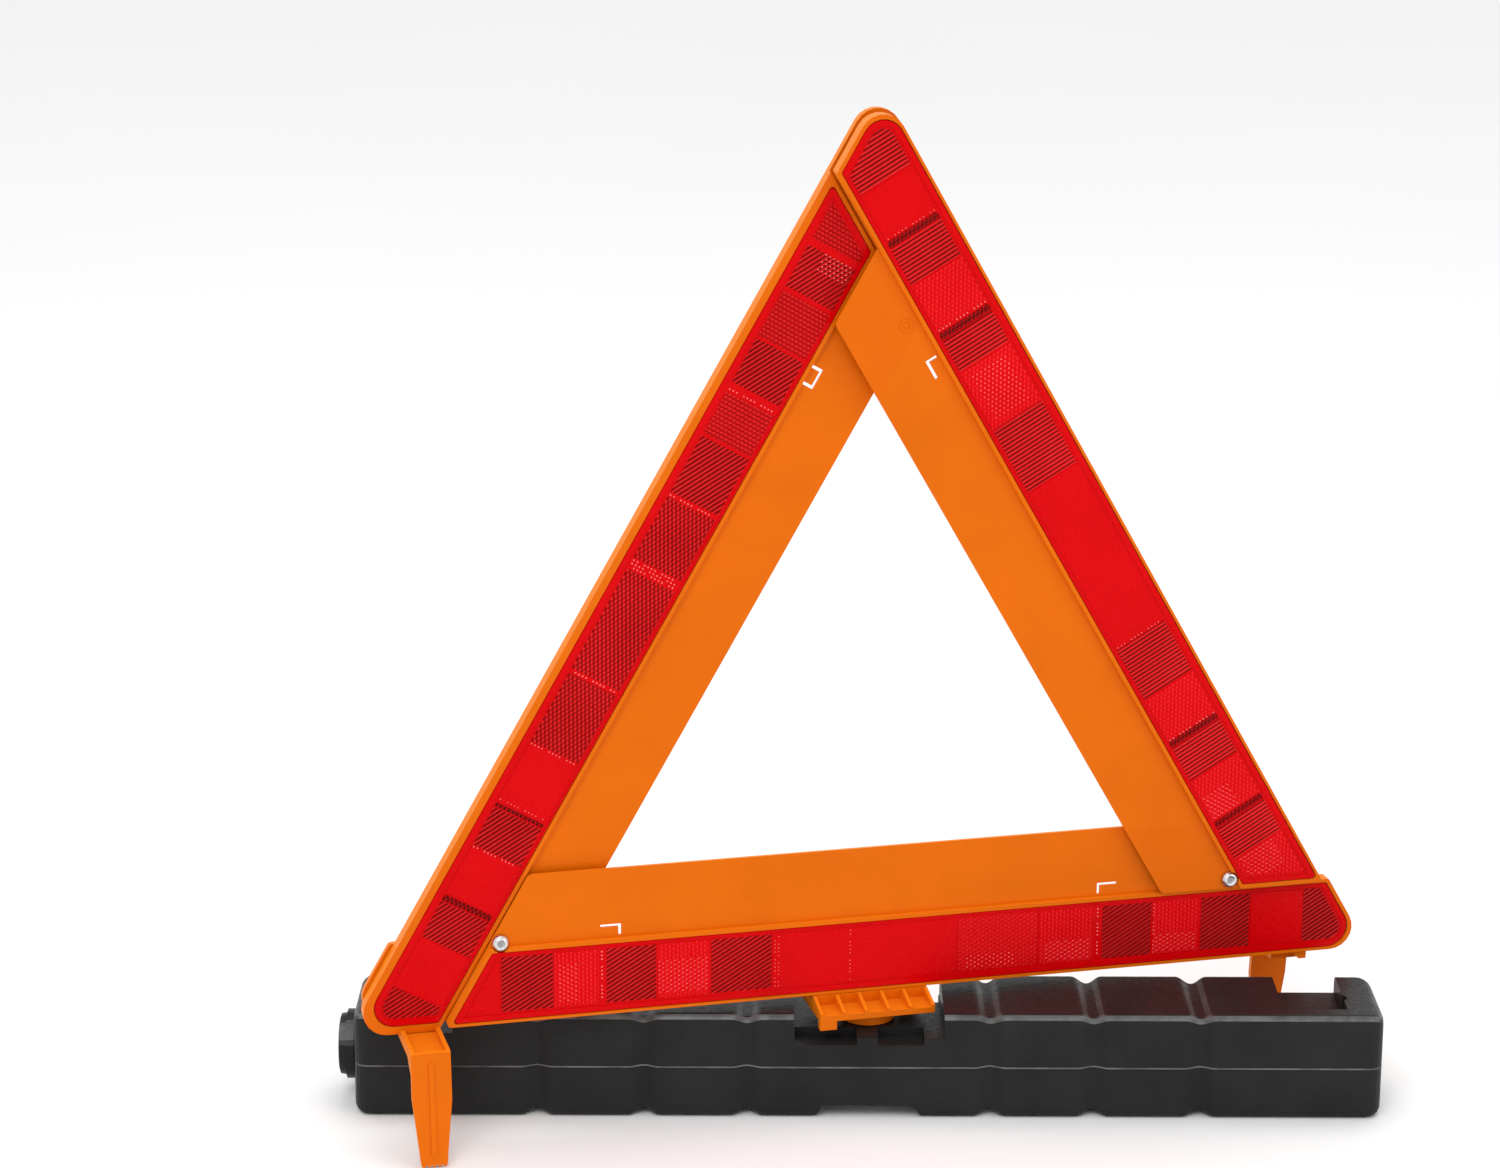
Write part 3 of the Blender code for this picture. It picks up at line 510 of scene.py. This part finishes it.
class Body:
    """Vertex and face lists gathered in lens coordinates."""

    def __init__(self):
        self.index = {}
        self.verts = []
        self.faces = []
        self.slots = []

    def absorb(self, other):
        """Append another body as a separate shell."""
        first = len(self.verts)
        self.verts += other.verts
        self.faces += [[first + i for i in face] for face in other.faces]
        self.slots += other.slots

    def vertex(self, point):
        """Index of a point, shared by all points in the same place."""
        key = tuple(round(c, 4) for c in point)
        if key not in self.index:
            self.index[key] = len(self.verts)
            self.verts.append(key)
        return self.index[key]

    def face(self, points, slot):
        """Add a face, unless it has shrunk to less than a triangle."""
        ids = []
        for p in points:
            i = self.vertex(p)
            if i not in ids:
                ids.append(i)
        if len(ids) > 2:
            self.faces.append(ids)
            self.slots.append(slot)

    def close(self, floor):
        """Skirt around the open faces and a flat underside at `floor`."""
        tops = list(self.faces)
        edges = {(a, b) for ids in tops for a, b in zip(ids, ids[1:] + ids[:1])}
        lower = {i: self.vertex((*self.verts[i][:2], floor)) for i in range(len(self.verts))}
        for a, b in sorted(edges):
            if (b, a) not in edges:
                self.faces.append([b, a, lower[a], lower[b]])
                self.slots.append(CLEAR)
        for ids in tops:
            self.faces.append([lower[i] for i in ids][::-1])
            self.slots.append(CLEAR)


def dot(body, centre):
    """Small raised bead on a prism corner."""
    ring = [(centre[0] + DOT_R * math.cos(a), centre[1] + DOT_R * math.sin(a)) for a in HEX]
    top = [(centre[0] + DOT_TAPER * (p[0] - centre[0]),
            centre[1] + DOT_TAPER * (p[1] - centre[1]), DOT_TOP) for p in ring]
    low = [(*p, -RECESS - DOT_SINK) for p in ring]
    # beads take the bright pink copy of the red: painted glints
    slot = SLOTS.index("dot")
    part = Body()
    part.face(top, slot)
    part.face(low[::-1], slot)
    for k in range(len(HEX)):
        j = (k + 1) % len(HEX)
        part.face([low[k], low[j], top[j], top[k]], slot)
    body.absorb(part)


def beads(body, edge, planes, field):
    """Bead rows along cell borders, and bead patches on the open cells, painted bright as glints.
    """
    v0 = min(p[1] for p in field)
    v1 = max(p[1] for p in field)
    rows = int((v1 - v0) / PITCH)
    marks = []
    for at, skip in BEAD_ROWS[edge]:
        marks += [(at, v0 + BEAD_START + PITCH * k) for k in range(rows)
                  if (k * BEAD_STRIDE + skip) % BEAD_CYCLE]
    low = v0 - BORDER_LOW
    for (u_low, u_high), (v_low, v_high) in BEAD_PATCHES[edge]:
        for (p, _, _), _ in prism_triangles(0.0, u_high - u_low, 0.0, v_high - v_low):
            if 0.0 <= p[0] <= u_high - u_low and 0.0 <= p[1] <= v_high - v_low:
                marks.append((u_low + p[0], low + v_low + p[1]))
    placed_at = set()
    for mark in marks:
        key = (round(mark[0], 3), round(mark[1], 3))
        inside = all(nu * mark[0] + nv * mark[1] > limit + BEAD_CLEAR for nu, nv, limit in planes)
        if key not in placed_at and inside:
            placed_at.add(key)
            dot(body, mark)


def border_body(body, loop, field):
    """Border ring, sunk floor, sides and back of one lens."""
    count = len(loop)
    lip = []
    for i, p in enumerate(loop):
        a = loop[i - 1]
        b = loop[(i + 1) % count]
        na = ((a[1] - p[1]) / math.dist(a, p), (p[0] - a[0]) / math.dist(a, p))
        nb = ((p[1] - b[1]) / math.dist(b, p), (b[0] - p[0]) / math.dist(b, p))
        scale = CHAMFER / (1.0 + na[0] * nb[0] + na[1] * nb[1])
        lip.append((p[0] + (na[0] + nb[0]) * scale, p[1] + (na[1] + nb[1]) * scale, 0.0))
    inner = [(p[0], p[1], 0.0) for p in field]
    rings = [[Vector(p) for p in lip], [Vector(p) for p in inner]]
    points = lip + inner
    for triangle in tessellate_polygon(rings):
        body.face([points[i] for i in triangle], CLEAR)
    for i in range(count):
        j = (i + 1) % count
        a = (*loop[i], -CHAMFER)
        b = (*loop[j], -CHAMFER)
        body.face([lip[i], lip[j], b, a], CLEAR)
        body.face([a, b, (*loop[j], -THICK), (*loop[i], -THICK)], CLEAR)
    body.face([(*p, -THICK) for p in loop], CLEAR)
    low = [(p[0], p[1], -RECESS) for p in inner]
    for i in range(len(inner)):
        j = (i + 1) % len(inner)
        body.face([inner[i], inner[j], low[j], low[i]], CLEAR)
    body.face(low, CLEAR)


def lens_mesh(name, edge, side, outer, loop):
    """Border body and prism cells of one lens."""
    box = [(-FAR, -FAR), (FAR, -FAR), (FAR, FAR), (-FAR, FAR)]
    ring = clean(clipped(box, inner_planes(loop, -LEDGE)))
    planes = inner_planes(loop, 0.0)
    field = clean(clipped(box, planes))
    body = Body()
    border_body(body, loop, ring)
    for cell in CELLS[edge]:
        part = Body()
        for points, slot in cell_faces(edge, cell, planes, field):
            part.face([(p[0], p[1], p[2] + TOP) for p in points], slot)
        part.close(-RECESS - CELL_SINK)
        body.absorb(part)
    beads(body, edge, planes, field)
    return placed(name, body, edge, side, outer)


def placed(name, body, edge, side, outer):
    """Mesh object from lens coordinates."""
    normal, along, _ = EDGE[edge]
    verts = []
    for u, v, w in body.verts:
        x = (u * along.x + v * normal.x) * MM
        z = CENTRE_Z + (u * along.y + v * normal.y) * MM
        verts.append((x, outer + side * w * MM, z))
    mesh = bpy.data.meshes.new(name)
    mesh.from_pydata(verts, [], body.faces)
    for polygon, slot in zip(mesh.polygons, body.slots):
        polygon.material_index = slot
    bm = bmesh.new()
    bm.from_mesh(mesh)
    bmesh.ops.recalc_face_normals(bm, faces=bm.faces)
    bm.to_mesh(mesh)
    bm.free()
    mesh.update()
    obj = bpy.data.objects.new(name, mesh)
    bpy.context.scene.collection.objects.link(obj)
    return obj


def reflectors(mats):
    """Detailed reflectors in place of the plain CAD lenses."""
    for body_name, edge in (("crossbar", "bottom"), ("left_arm", "left"), ("right_arm", "right")):
        for side, tag in ((-1, "front"), (1, "back")):
            node = f"{body_name}_lens_{tag}"
            loop, outer = outline_of(node, side)
            loop = anticlockwise(clean([to_uv(p, edge) for p in loop]))
            piece = lens_mesh(f"{body_name}_reflector_{tag}", edge, side, outer, loop)
            for mat in mats:
                piece.data.materials.append(mat)
            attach(piece, body_name)
            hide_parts(node)


# ---- stage ----------------------------------------------------------------
def stage():
    """Pale floor, soft lights and the camera."""
    bpy.ops.mesh.primitive_plane_add(size=14.0, location=(1.0, 4.0, -0.0002))
    floor = bpy.context.object
    floor.name = "floor"
    tree = Tree("floor_paper", 0.75)
    cloud = tree.noise(1.2, 3.0)
    tree.colour(tree.mix(cloud, (0.84, 0.84, 0.84), (0.88, 0.88, 0.88)))
    floor.data.materials.append(tree.mat)
    world = bpy.data.worlds.new("studio")
    bpy.context.scene.world = world
    world.use_nodes = True
    world.node_tree.nodes["Background"].inputs[0].default_value = (1.0, 1.0, 1.0, 1.0)
    world.node_tree.nodes["Background"].inputs[1].default_value = 1.0
    softbox("key", (-1.0, -1.7, 2.1), 20.0, 1.1)
    softbox("fill", (1.7, -1.5, 1.2), 6.0, 1.2)
    softbox("top", (0.1, 0.4, 2.3), 10.0, 1.0)
    camera()


def softbox(name, place, power, size):
    """Large area light aimed at the middle of the object."""
    light = bpy.data.lights.new(name, "AREA")
    light.energy = power
    light.shape = "SQUARE"
    light.size = size
    obj = bpy.data.objects.new(name, light)
    obj.location = place
    aim = Vector((0.0, 0.0, 0.5 * (CAD_BOX[0][2] + CAD_BOX[1][2]))) - obj.location
    obj.rotation_euler = aim.to_track_quat("-Z", "Y").to_euler()
    bpy.context.scene.collection.objects.link(obj)


def camera():
    """Camera slightly above and to the left of the front."""
    data = bpy.data.cameras.new("camera")
    data.lens = 93.79
    data.sensor_width = 36.0
    data.clip_end = 60.0
    obj = bpy.data.objects.new("camera", data)
    obj.location = (-0.41943, -1.46118, 0.64548)
    obj.rotation_euler = (math.radians(74.423), math.radians(-0.205), math.radians(-14.092))
    bpy.context.scene.collection.objects.link(obj)
    bpy.context.scene.camera = obj


# ---- make everything ------------------------------------------------------
TRIANGLE = triangle_constants()
CENTRE_Z = (TRIANGLE["bottom"] - TRIANGLE["left"]) / 1.5
ORANGE = orange("orange_moulding")
dress("crossbar_panel", orange("orange_crossbar"))
dress("left_arm_panel", orange("orange_left_arm", ("right", "bottom")))
dress("right_arm_panel", orange("orange_right_arm", ("left", "bottom")))
for part in ("left_foot", "right_foot", "swivel_bracket"):
    dress(part, ORANGE)
dress("base_shell", black_plastic("black_base", 0.4, (0.0135, 0.0135, 0.0135)))
dress("filler_cap", black_plastic("black_cap", 0.34, (0.012, 0.012, 0.013)))
dress("sand_ballast", sand_grain("dry_sand"))
STEEL = zinc("zinc_plate")
for part in ("rivet_left", "rivet_left_washer", "rivet_right", "pivot_screw", "pivot_washer"):
    dress(part, STEEL)

# in the order of SLOTS; the facet and bead materials are lit, shaded and glinting copies of one
# red: painted light and shade
reflectors((
    reflector("red_clear", (0.56, 0.0006, 0.0020), (0.62, 0.0009, 0.0028), 0.16, 0.00002),
    reflector("red_painted_shade", (0.15, 0.0004, 0.0006), (0.24, 0.0006, 0.0009), 0.22, 0.00003),
    reflector("red_painted_half_shade", (0.32, 0.0006, 0.0012), (0.40, 0.0010, 0.002), 0.22, 0.00003),
    reflector("red_painted_light", (0.58, 0.008, 0.010), (0.68, 0.016, 0.017), 0.2, 0.00003),
    reflector("red_open", (0.56, 0.0006, 0.0020), (0.63, 0.0010, 0.0032), 0.2, 0.00002),
    reflector("red_painted_pale_light", (0.68, 0.006, 0.010), (0.76, 0.014, 0.019), 0.18, 0.00002),
    reflector("red_bead_glint", (0.90, 0.13, 0.13), (0.97, 0.26, 0.25), 0.14, 0.00002),
    reflector("red_painted_deep_shade", (0.07, 0.0003, 0.0004), (0.12, 0.0005, 0.0006), 0.25, 0.00003),
))

stage()
view = bpy.context.scene.view_settings
view.view_transform = "Standard"
view.look = "None"
